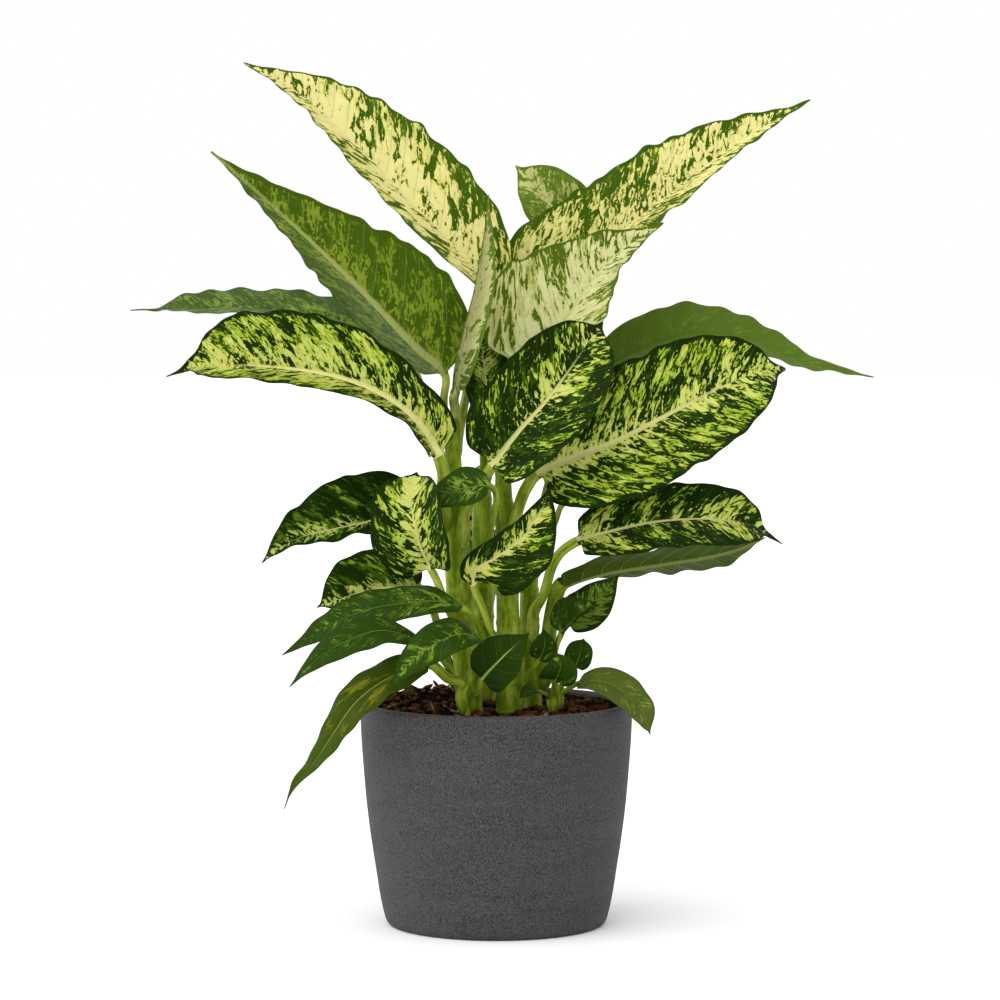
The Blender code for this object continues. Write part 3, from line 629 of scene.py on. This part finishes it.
def variegation(n, look, seed):
    """Colour of a blade's upper side, and the vein coordinate and distance out that it is made from."""
    q, d, _ = n.split(n.uv("vein"))
    share, margin, _ = n.split(n.uv("leaf"))
    wide, long = look.across, look.along
    streaks = n.noise(n.stretch(q, wide, d, long, seed), detail=4, distortion=1.3)
    patches = n.noise(n.stretch(q, wide * 0.28, d, long * 0.4, seed + 3.0), detail=1)
    flecks = n.noise(n.stretch(q, wide * 2.4, d, wide * 1.8, seed + 7.0), detail=2, roughness=0.6)
    dots = n.cells(n.stretch(q, 3.2, d, 3.2, seed), 1.0)
    inward = n.fade(d, 0.0, look.reach)
    ragged_margin = n.total(margin, n.scaled(streaks, look.edge * 3, -look.edge * 1.5))
    border = n.fade(ragged_margin, look.edge * 0.3, look.edge * 1.3)
    level = n.total(
        streaks,
        n.scaled(patches, 0.5, -0.25),
        n.scaled(flecks, 0.34, -0.17),
        n.scaled(n.fade(dots, 0.1, 0.22), 0.16),
        n.scaled(inward, look.glow, look.light),
        n.scaled(border, -0.4),
    )
    pale_area = n.math("ADD", n.scaled(level, look.sharp, -0.5 * look.sharp), 0.5, clamp=True)
    shades = n.noise(n.stretch(q, wide * 0.7, d, long * 0.8, seed + 11.0), detail=4)
    green = n.mix(n.step(n.total(shades, n.scaled(level, 0.5, -0.25)), 0.44, 0.62), look.dark, look.mid)
    ripeness = n.step(n.total(level, n.scaled(inward, 0.1)), 0.55, 0.72)
    light = n.mix(ripeness, look.pale, look.cream)
    colour = n.mix(pale_area, green, light)
    narrowing = n.scaled(share, -look.rib, look.rib)
    rib = n.fade(n.math("DIVIDE", d, n.math("MAXIMUM", narrowing, 0.02)), 0.6, 1.2)
    rib_strength = n.math("MULTIPLY", rib, n.fade(share, 0.5, 0.9))
    return n.mix(rib_strength, colour, look.rib_colour), q, d


def leaf_top(leaf, look, seed):
    n = Nodes(leaf.name + "_top")
    n.gloss(LEAF_SPECULAR, LEAF_GLOSS_TINT)
    colour, q, d = variegation(n, look, seed)
    veins = n.math("MULTIPLY", vein_lines(n, q, VEIN_SPACING / 10, 0.1), n.step(d, 0.0, 0.3))
    colour = n.mix(n.scaled(veins, look.veins), colour, look.vein_colour)
    fine = n.noise(n.join(q, d, seed), scale=9.0, detail=4)
    grain = n.noise(n.join(q, n.scaled(d, 0.25), seed), scale=5.0, detail=2)
    height = n.total(n.scaled(fine, 0.35), n.scaled(grain, 0.5), n.scaled(veins, -0.35))
    roughness = n.scaled(grain, 0.16, 0.34)
    return n.finish(colour, roughness, height, 0.0006, 0.6)


def leaf_under(leaf, look, seed):
    """The underside is paler and duller, with the pattern showing through and raised pale veins."""
    n = Nodes(leaf.name + "_underside")
    n.gloss(LEAF_SPECULAR, LEAF_GLOSS_TINT)
    colour, q, d = variegation(n, look, seed)
    margin = n.split(n.uv("leaf"))[1]
    colour = n.mix(0.55, colour, UNDERSIDE[leaf.tint])
    inner = n.step(margin, 0.1, 0.9)
    veins = n.math("MULTIPLY", vein_lines(n, q, VEIN_SPACING / 10, 0.07), inner)
    minor = n.math("MULTIPLY", vein_lines(n, q, VEIN_SPACING / 40, 0.03), inner)
    for mark, strength in ((veins, 0.3), (minor, 0.1), (n.fade(d, 0.14, 0.24), 0.5)):
        colour = n.mix(n.scaled(mark, strength), colour, UNDERSIDE_VEIN)
    fine = n.noise(n.join(q, d, seed), scale=8.0, detail=4)
    height = n.total(n.scaled(fine, 0.5), n.scaled(veins, 0.6), n.scaled(minor, 0.3))
    return n.finish(colour, n.scaled(fine, 0.2, 0.42), height, 0.0006, 0.7)


def petiole_skin(name, green, pale, seed):
    """A stalk: fine streaks along it and small pale dots."""
    n = Nodes(name)
    n.gloss(LEAF_SPECULAR, LEAF_GLOSS_TINT)
    length, around, _ = n.split(n.uv("vein"))
    streaks = n.noise(n.stretch(length, 0.3, around, 1.6, seed), roughness=0.5)
    dots = n.noise(n.stretch(length, 1.5, around, 4.0, seed + 4.0), detail=2, roughness=0.6)
    level = n.step(n.total(n.scaled(streaks, 0.85), n.scaled(dots, 0.25)), 0.42, 0.72)
    fibres = n.noise(n.stretch(length, 1.0, around, 14.0, seed), detail=2)
    return n.finish(n.mix(level, green, pale), n.scaled(streaks, 0.2, 0.34), fibres, 0.0005, 0.5)


def pot_skin():
    """Dark grey cast stone: sand grains, small pits darkened with painted shade, and faint bands left by the
    mould.
    """
    n = Nodes("pot_stone")
    n.gloss(POT_SPECULAR)
    at = n.place_in_object()
    x, y, z = n.split(at)
    cloud = n.noise(n.join(n.scaled(x, 0.12), n.scaled(y, 0.12), n.scaled(z, 0.7)), detail=5, roughness=0.6)
    grain = n.noise(at, scale=9.0, detail=4, roughness=0.75)
    chosen = n.step(n.noise(at, scale=3.1, detail=1), 0.5, 0.56)
    pits = n.math("MULTIPLY", n.fade(n.cells(at, 3.6), 0.14, 0.28), chosen)
    specks = n.fade(n.cells(at, 5.3), 0.08, 0.2)
    base = n.mix(n.step(cloud, 0.4, 0.62), *POT_GREYS)
    gritty = n.mix(n.step(grain, 0.38, 0.64), base, POT_GRIT)
    flecked = n.mix(n.scaled(specks, 0.35), gritty, POT_SPECK)
    # painted shade: the pits are darkened as though shade fell inside them, on top of their bumped depth
    colour = n.mix(n.scaled(pits, 0.85), flecked, POT_PIT_PAINTED_SHADE)
    height = n.total(n.scaled(grain, 0.8), n.scaled(pits, -2.0))
    return n.finish(colour, n.scaled(grain, 0.25, 0.62), height, 0.0008, 0.9)


def earth_skin(name, dark, light, grain):
    """Peat, bark or straw: dull, fibrous and uneven."""
    n = Nodes(name)
    n.gloss(EARTH_SPECULAR)
    at = n.place_in_object()
    lumps = n.noise(at, scale=grain, detail=6, roughness=0.7)
    fibres = n.noise(at, scale=grain * 4, detail=4, roughness=0.75, distortion=1.5)
    colour = n.mix(n.step(n.total(n.scaled(lumps, 0.6), n.scaled(fibres, 0.4)), 0.4, 0.68), dark, light)
    height = n.total(lumps, n.scaled(fibres, 0.6))
    return n.finish(colour, n.scaled(fibres, 0.3, 0.65), height, 0.002, 0.9)


# ---- leaves ----

def stem_at(name, height):
    """Centre and radius of a stem at a height."""
    stem = next(stem for stem in STEMS if stem.name == name)
    x, y, z = np.array(stem.points, float).T
    return np.interp(height, z, x), np.interp(height, z, y), np.interp(height, z, stem.radii)


def sheath_points(leaf):
    """The petiole comes out of its stem's side and runs up it, away from it little by little.

    The spear, with no height of its own, goes on from the top of its stem.
    """
    if not leaf.height:
        height = leaf.petiole[0][2] - SPEAR_DEPTH
        x, y, _ = stem_at(leaf.stem, height)
        return [(x, y, height)]
    points = []
    run = SHEATH_RUN * leaf.radius
    angle = math.radians(leaf.azimuth)
    for height, out in ((leaf.height, 0.1), (leaf.height + run / 2, 0.6), (leaf.height + run, 1.0)):
        x, y, radius = stem_at(leaf.stem, height)
        reach = radius + out * leaf.radius
        points.append((x + reach * math.cos(angle), y + reach * math.sin(angle), height))
    return points


def profile_at(shape, shares):
    """Half width of an outline as a share of its widest."""
    outline = smooth_curve(np.column_stack([PROFILE_ALONG, PROFILES[shape]]))
    return np.interp(shares, outline[:, 0], outline[:, 1])


def strength_along(share):
    """1 along most of the blade, falling to 0 at its base and tip."""
    return np.sqrt(np.clip(share * (1 - share) * 4, 0, 1))


class Blade:
    """The swept grid of one leaf: stations along it and columns across it."""

    def __init__(self, leaf, rng):
        self.leaf = leaf
        self.rng = rng
        route = sheath_points(leaf) + list(leaf.petiole)
        curve = smooth_curve(route + list(leaf.midrib))
        joint = len(route) * CURVE_STEPS
        stalk, rib = curve[:joint + 1], curve[joint:]
        self.stalk_length = arc_lengths(stalk)[-1]
        self.length = arc_lengths(rib)[-1]
        steps = int(np.clip(self.length / STATION_SPACING, *BLADE_STATIONS))
        even = np.linspace(0, 1, steps)
        shares = 0.6 * even + 0.4 * (0.5 - 0.5 * np.cos(math.pi * even))
        before = np.linspace(0, 1, PETIOLE_STATIONS, endpoint=False)
        self.centres = np.vstack([along(stalk, before), along(rib, shares)])
        self.share = np.concatenate([np.zeros(PETIOLE_STATIONS), shares])
        self.stalk_share = np.concatenate([before, np.ones(steps)])
        self.reach_along = np.concatenate([(before - 1) * self.stalk_length, shares * self.length])
        self.tangent = unit(np.gradient(self.centres, axis=0))
        share = self.share[:, None]
        face = (1 - share) * np.array(leaf.face) + share * np.array(leaf.face_tip or leaf.face)
        chord = unit(rib[-1] - rib[0])
        heading = self.tangent + STIFFNESS * np.minimum(1, share / 0.2) * chord
        self.side = unit(np.cross(heading, face))
        self.normal = unit(np.cross(self.side, self.tangent))
        half_columns = int(np.clip(leaf.half_width / COLUMN_SPACING, *HALF_COLUMNS))
        self.turn = np.linspace(-1, 1, 2 * half_columns + 1)
        self.across = np.sign(self.turn) * (0.5 - 0.5 * np.cos(math.pi * np.abs(self.turn)))
        self.outline_ripple = ripple(self.reach_along, OUTLINE_LENGTH, rng)

    def distances(self):
        """Distance of each grid point from the midrib, and half the width at its station."""
        leaf = self.leaf
        uneven = 1 + OUTLINE_WAVE * self.outline_ripple * np.sin(math.pi * self.share)
        width = leaf.half_width * profile_at(leaf.shape, self.share) * uneven
        width = np.maximum(width, np.where(self.share < 0.02, leaf.radius, 0.3))[:, None]
        side_share = np.where(self.across < 0, leaf.left, leaf.right)
        return width * side_share * np.abs(self.across), width * side_share

    def vein_coordinate(self, reach):
        """Where the lateral vein through each point leaves the midrib, in mm."""
        bend = VEIN_LEAN * reach + VEIN_CURVE * reach ** 2 / self.leaf.half_width
        return self.reach_along[:, None] - bend + np.where(self.across < 0, VEIN_SPACING * 0.45, 0)

    def surfaces(self):
        """Points of the blade's two sides: (stations, columns, 3) each."""
        leaf = self.leaf
        reach, width = self.distances()
        share = self.share[:, None]
        out = np.abs(self.across)
        fold = math.radians(leaf.fold)
        rounded = np.sqrt(reach ** 2 + FOLD_ROUNDING ** 2) - FOLD_ROUNDING
        rise = rounded * (math.sin(fold) + leaf.curl * out)
        rise += CAMBER * reach * (1 - out)
        coordinate = self.vein_coordinate(reach)
        ridge = np.abs(np.sin(math.pi * coordinate / VEIN_SPACING))
        strength = smoothstep(0, 6, reach) * smoothstep(0, 8, width - reach) * smoothstep(0, 0.06, share)
        rise += QUILT_DEPTH * (ridge - 0.6) * strength
        narrow = min(1, leaf.half_width / FULL_WAVE_WIDTH)
        wave = WAVES.get(leaf.name, MARGIN_WAVE) * narrow
        scallops = np.sin(2 * math.pi * coordinate / (SCALLOP_LENGTH * VEIN_SPACING))
        rise += MARGIN_SCALLOP * narrow * scallops * out ** 3 * strength_along(share)
        for sign in (-1, 1):
            ripples = ripple(self.reach_along, WAVE_LENGTH, self.rng)[:, None]
            this_half = np.sign(self.across) == sign
            rise += this_half * wave * ripples * strength_along(share) * out ** 2.2
        swept = leaf.lobe * np.clip(1 - share / 0.25, 0, 1) ** 2 * reach
        flat = np.sign(self.across) * reach * math.cos(fold)
        base = (self.centres[:, None] + flat[..., None] * self.side[:, None]
                - swept[..., None] * self.tangent[:, None])
        rib = leaf.radius * (1 - share) ** 1.1 + 0.25
        rib_below = 1.1 * rib * np.exp(-(reach / (0.75 * rib)) ** 2)
        groove = 0.35 * rib * np.exp(-(reach / (0.6 * rib)) ** 2)
        thickness = BLADE_THICKNESS * (1 - out ** 6)
        top = base + (rise + thickness / 2 - groove)[..., None] * self.normal[:, None]
        under = base + (rise - thickness / 2 - rib_below)[..., None] * self.normal[:, None]
        return top, under

    def stalk_ring(self):
        """The round petiole as two half rings, widened where it sheathes the stem."""
        leaf = self.leaf
        radius = leaf.radius * (1 + SHEATH_SWELL * smoothstep(0.45, 0, self.stalk_share))
        foot = self.stalk_share * self.stalk_length / (FOOT_TAPER * leaf.radius)
        radius = radius * np.sqrt(np.clip(foot, 0.04, 1))
        angle = math.pi / 2 * (1 - self.turn)
        ring = np.cos(angle)[:, None] * self.side[:, None]
        lift = np.sin(angle)[:, None] * self.normal[:, None]
        channel = CHANNEL * np.exp(-(self.turn / 0.35) ** 2)[:, None]
        top = self.centres[:, None] + radius[:, None, None] * (ring + lift * (1 - channel))
        under = self.centres[:, None] + radius[:, None, None] * (ring - lift)
        return top, under

    def grid(self):
        """Both sides, going over from the round petiole to the blade just past its base."""
        blend = smoothstep(0, BLADE_START, self.share)[:, None, None]
        pairs = zip(self.stalk_ring(), self.surfaces())
        return [(1 - blend) * stalk + blend * blade for stalk, blade in pairs]

    def uv_maps(self, under):
        """Corner values of the grid: bake layout, vein coordinates in cm, and share with margin in cm."""
        reach, width = self.distances()
        lengths = self.reach_along + self.stalk_length
        u = 0.01 + 0.48 * (self.turn + 1) / 2
        u = 1 - u if under else u
        vein = np.stack([self.vein_coordinate(reach) / 10, reach / 10], axis=2)
        around = self.turn * self.leaf.radius * 0.16
        stalk_map = corner_values(around, self.reach_along / 10)[..., ::-1]
        stalk = self.share[:, None, None] <= 0
        vein = np.where(stalk, stalk_map, vein)
        margin = np.stack([np.broadcast_to(self.share[:, None], reach.shape), (width - reach) / 10], axis=2)
        return {"OFBake": corner_values(u, bake_range(lengths / lengths[-1])), "vein": vein, "leaf": margin}


def build_leaf(leaf, index):
    """One leaf as a closed mesh: upper side, underside and petiole."""
    rng = np.random.default_rng(SEED + index)
    blade = Blade(leaf, rng)
    top, under = blade.grid()
    stations, columns = top.shape[:2]
    ring = 2 * columns - 2
    points = np.concatenate([top, under[:, -2:0:-1]], axis=1).reshape(-1, 3)
    rows = ring * np.arange(stations)[:, None]
    top_indices = rows + np.arange(columns)
    under_indices = rows + np.arange(columns - 1, 2 * columns - 1) % ring
    stalk = (np.arange(stations) < PETIOLE_STATIONS)[:, None]
    flip = {name: grid[:, ::-1] for name, grid in blade.uv_maps(under=True).items()}
    sheets = [
        Sheet(top_indices, blade.uv_maps(under=False), np.where(stalk, 2, 0)),
        Sheet(under_indices, flip, np.where(stalk, 2, 1)),
    ]
    caps = [range(ring - 1, -1, -1), range(len(points) - ring, len(points))]
    look = OWN_LOOKS.get(leaf.name, LOOKS[leaf.tint])
    seed = 3.7 * index
    materials = [
        leaf_top(leaf, look, seed),
        leaf_under(leaf, look, seed),
        petiole_skin(leaf.name + "_petiole_skin", *PETIOLE_COLOURS[leaf.tint], seed),
    ]
    obj = mesh_object(leaf.name + "_detail", points, sheets, caps, materials)
    place(obj, "leaves_" + leaf.tint, leaf.name)


# ---- stems, pot and soil ----

def build_stem(stem, index):
    """A cane with ringed nodes, run a little way into the soil."""
    foot = np.array(stem.points[0]) - (0, 0, STEM_DEPTH)
    curve = smooth_curve(np.column_stack([(foot, *stem.points), (stem.radii[0], *stem.radii)]))
    length = arc_lengths(curve[:, :3])[-1]
    shares = np.linspace(0, 1, int(length / STEM_RING_SPACING))
    swept = along(curve, shares)
    centres, radii = swept[:, :3], swept[:, 3]
    run = length * shares
    node = np.exp(-((run % NODE_SPACING - NODE_SPACING / 2) / NODE_WIDTH) ** 2)
    end = np.sqrt(np.clip((length - run) / STEM_END_TAPER, 0.02, 1))
    tangent = unit(np.gradient(centres, axis=0))
    side = unit(np.cross(tangent, (0, 1, 0.01)))
    other = np.cross(tangent, side)
    angle = ring_angles(STEM_SIDES)
    phase = np.random.default_rng(STEM_SEED + index).random() * 6
    waves = np.sin(3 * angle + phase) * np.sin(run / UNEVENNESS_LENGTH)[:, None]
    radius = (radii * (1 + NODE_SWELL * node) * end)[:, None] * (1 + STEM_UNEVENNESS * waves)
    rings = (centres[:, None] + (radius * np.cos(angle))[..., None] * side[:, None]
             + (radius * np.sin(angle))[..., None] * other[:, None])
    u = np.linspace(0, 1, STEM_SIDES + 1)
    uvs = {
        "OFBake": corner_values(bake_range(u), bake_range(shares)),
        "vein": corner_values(u * 4.0, run / 10)[..., ::-1],
    }
    sheet, caps = tube(rings, uvs)
    skin = petiole_skin(stem.name + "_skin", *STEM_COLOURS, 40.0 + index)
    obj = mesh_object(stem.name + "_detail", rings.reshape(-1, 3), [sheet], caps, [skin])
    place(obj, "stems", stem.name)


def build_pot():
    """The pot, turned from a smooth section."""
    section = along(smooth_curve(np.array(POT_PROFILE, float), 8), np.linspace(0, 1, POT_RINGS))
    section[0, 0] = section[-1, 0] = POT_INNERMOST
    angle = ring_angles(POT_SEGMENTS)
    radius, height = section[:, :1], section[:, 1:]
    rings = np.stack(np.broadcast_arrays(radius * np.cos(angle), radius * np.sin(angle), height), axis=2)
    u = np.linspace(0, 1, POT_SEGMENTS + 1)
    v = arc_lengths(section) / arc_lengths(section)[-1]
    sheet, caps = tube(rings, {"OFBake": corner_values(bake_range(u), bake_range(v))})
    obj = mesh_object("pot_detail", rings.reshape(-1, 3), [sheet], caps, [pot_skin()])
    place(obj, "pot", "pot")


def soil_height(x, y):
    """Height of the soil's top: higher at the rim, with a mound behind the stems and fine lumps."""
    rise = (SOIL_EDGE - SOIL_LEVEL) * (math.hypot(x, y) / SOIL_RADIUS) ** 2
    distance = math.hypot(x - MOUND_CENTRE[0], y - MOUND_CENTRE[1])
    mound = MOUND_HEIGHT * math.exp(-0.5 * (distance / MOUND_SPREAD) ** 2)
    lumps = sum(tall * noise.noise(Vector((x / wide, y / wide, layer))) for wide, tall, layer in SOIL_LUMPS)
    return SOIL_LEVEL + rise + mound + lumps - SOIL_LOWERED


def build_soil():
    """The soil's crumbly top, with a skirt down inside the pot and a flat underside."""
    radii = SOIL_RADIUS * np.linspace(SOIL_INNERMOST, 1, SOIL_RINGS)
    flat = [(r * math.cos(a), r * math.sin(a)) for r in radii for a in ring_angles(SOIL_SEGMENTS)]
    top = np.array([(x, y, soil_height(x, y)) for x, y in flat])
    skirt = top[-SOIL_SEGMENTS:] - (0, 0, SOIL_SKIRT)
    points = np.concatenate([top, skirt])
    rows = SOIL_SEGMENTS * np.arange(SOIL_RINGS, -1, -1)[:, None]
    indices = rows + closed_columns(SOIL_SEGMENTS)
    # The skirt takes a thin border round the top's disc in the bake layout.
    spread = np.concatenate([top[:, :2] * 0.97, skirt[:, :2]])
    sheet = Sheet(indices, {"OFBake": (0.5 + 0.48 * spread / SOIL_RADIUS)[indices]})
    caps = [range(len(points) - 1, len(points) - 1 - SOIL_SEGMENTS, -1), range(SOIL_SEGMENTS)]
    skin = earth_skin("peat", *PEAT_COLOURS, PEAT_GRAIN)
    place(mesh_object("soil_detail", points, [sheet], caps, [skin]), "soil", "soil")


def chip(bm, centre, size, flatness, rng):
    """One rough chip, lying nearly flat."""
    turn = rng.uniform(0, 2 * math.pi)
    tilt = rng.normal(0, CHIP_TILT, 2)
    made = bmesh.ops.create_icosphere(bm, subdivisions=2, radius=1.0)["verts"]
    offset = Vector(rng.uniform(-50, 50, 3))
    for vert in made:
        rough = 1 + 0.45 * noise.noise(vert.co * 1.7 + offset) + 0.2 * noise.noise(vert.co * 4 + offset)
        x, y, z = vert.co * rough * size
        y *= flatness[0]
        z = z * flatness[1] + tilt[0] * x + tilt[1] * y
        vert.co = (centre[0] + x * math.cos(turn) - y * math.sin(turn),
                   centre[1] + x * math.sin(turn) + y * math.cos(turn), centre[2] + z)


def build_litter(name, count, sizes, flatness, seed, skin):
    """Loose bits scattered over the soil, as one piece."""
    rng = np.random.default_rng(seed)
    bm = bmesh.new()
    for _ in range(count):
        radius = LITTER_RADIUS * math.sqrt(rng.random())
        angle = rng.uniform(0, 2 * math.pi)
        x, y = radius * math.cos(angle), radius * math.sin(angle)
        size = rng.uniform(*sizes)
        chip(bm, (x, y, soil_height(x, y) + CHIP_LIFT * size), size, flatness, rng)
    bmesh.ops.scale(bm, vec=(MM, MM, MM), verts=bm.verts)
    mesh = bpy.data.meshes.new(name)
    bm.to_mesh(mesh)
    bm.free()
    mesh.materials.append(earth_skin(*skin))
    smooth_shading(mesh)
    place(add_object(name, mesh), "soil")


# ---- stage ----

def build_floor():
    """A plain pale floor."""
    mesh = bpy.data.meshes.new("floor")
    signs = ((-1, -1), (1, -1), (1, 1), (-1, 1))
    mesh.from_pydata([(x * FLOOR_REACH, y * FLOOR_REACH, 0) for x, y in signs], [], [(0, 1, 2, 3)])
    n = Nodes("floor_paint")
    n.feed(n.shader.inputs["Base Color"], FLOOR_COLOUR)
    n.feed(n.shader.inputs["Roughness"], FLOOR_ROUGHNESS)
    mesh.materials.append(n.material)
    floor = add_object("floor", mesh)


def aim(obj, target):
    obj.rotation_mode = "QUATERNION"
    obj.rotation_quaternion = (Vector(target) - obj.location).to_track_quat("-Z", "Y")


def add_sun(name, location, strength, spread):
    """A very soft light from one direction; spread is its angle in degrees."""
    light = bpy.data.lights.new(name, "SUN")
    light.energy = strength
    light.angle = math.radians(spread)
    obj = add_object(name, light)
    obj.location = location
    aim(obj, CAMERA_AIM)


def build_studio():
    """Camera, soft lights and a white room."""
    camera = bpy.data.cameras.new("camera")
    camera.lens = CAMERA_LENS
    holder = add_object("camera", camera)
    holder.location = CAMERA_AT
    aim(holder, CAMERA_AIM)
    scene = bpy.context.scene
    scene.camera = holder
    scene.view_settings.view_transform = "Standard"
    world = bpy.data.worlds.new("white_room")
    world.use_nodes = True
    background = world.node_tree.nodes["Background"]
    background.inputs["Color"].default_value = (1, 1, 1, 1)
    background.inputs["Strength"].default_value = 1.0
    scene.world = world
    for name, settings in SUNS.items():
        add_sun(name, *settings)
    build_floor()


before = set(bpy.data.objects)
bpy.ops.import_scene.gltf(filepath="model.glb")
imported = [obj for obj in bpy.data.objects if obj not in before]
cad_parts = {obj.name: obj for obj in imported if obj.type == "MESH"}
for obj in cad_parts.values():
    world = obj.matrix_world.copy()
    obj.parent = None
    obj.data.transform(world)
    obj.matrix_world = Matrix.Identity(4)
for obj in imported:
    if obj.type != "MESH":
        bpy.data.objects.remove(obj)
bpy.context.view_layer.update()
build_studio()
build_pot()
build_soil()
for row in LITTER:
    build_litter(*row)
for stem_index, one_stem in enumerate(STEMS):
    build_stem(one_stem, stem_index)
for leaf_index, one_leaf in enumerate(LEAVES):
    build_leaf(one_leaf, leaf_index)
